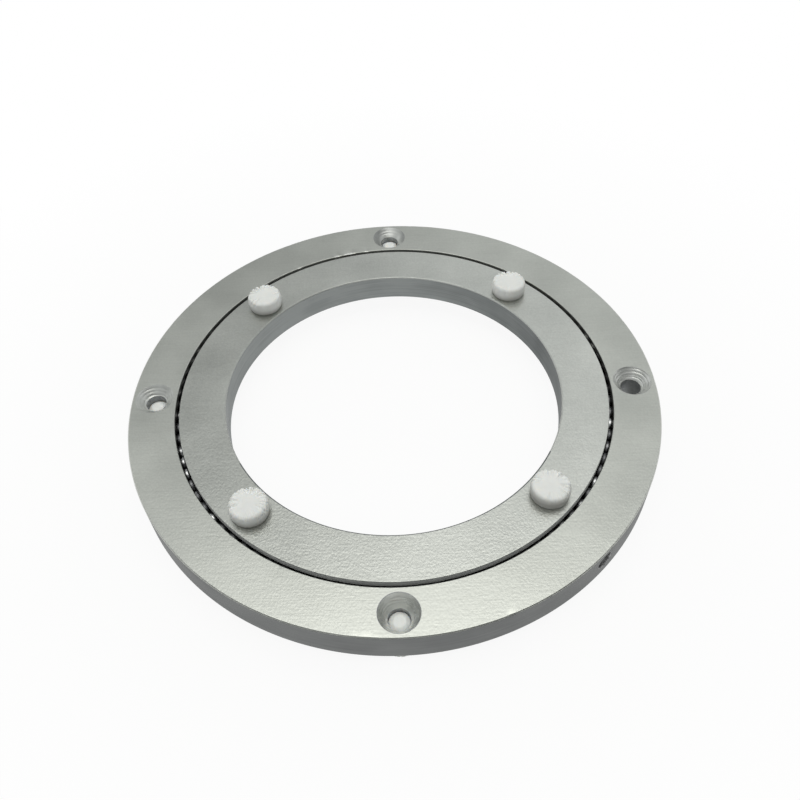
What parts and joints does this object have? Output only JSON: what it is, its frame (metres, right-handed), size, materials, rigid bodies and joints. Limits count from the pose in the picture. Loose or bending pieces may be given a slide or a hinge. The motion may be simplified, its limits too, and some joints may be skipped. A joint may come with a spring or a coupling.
{
  "type": "lazy susan bearing",
  "caption": "Flat round turntable bearing: an inner aluminium ring turns in an outer one on a row of steel balls, with white silicone pads above and feet below.",
  "frame": {"origin": "on the turning axis, in the plane that the feet stand on", "axes": "+Z along the turning axis, upwards to the pads; +X towards the screw hole that is open; the outer ring's screw holes stand on X and Y"},
  "size_m": [0.12, 0.12, 0.0155],
  "materials": {
    "ring_aluminium": "matte blasted",
    "ball_steel": "polished",
    "plug_steel": "black oxide",
    "white_silicone": "matte"
  },
  "bodies": {
    "base": {"outer_ring": "ring_aluminium", "fill_plug": "plug_steel", "foot_back": "white_silicone", "foot_left": "white_silicone", "foot_front": "white_silicone"},
    "turntable": {"inner_ring": "ring_aluminium", "pad_back_right": "white_silicone", "pad_back_left": "white_silicone", "pad_front_left": "white_silicone", "pad_front_right": "white_silicone"},
    "ball_row": {"bearing_balls": "ball_steel"}
  },
  "joints": [
    {"name": "turntable_spin", "type": "hinge", "parent": "base", "child": "turntable", "pos_m": [0, 0, 0.0084], "axis": [0, 0, 1], "continuous": true},
    {"name": "ball_orbit", "type": "hinge", "parent": "base", "child": "ball_row", "pos_m": [0, 0, 0.0084], "axis": [0, 0, 1], "continuous": true}
  ],
  "couplings": [
    {"joint": "ball_orbit", "follows": "turntable_spin", "ratio": 0.4886}
  ]
}
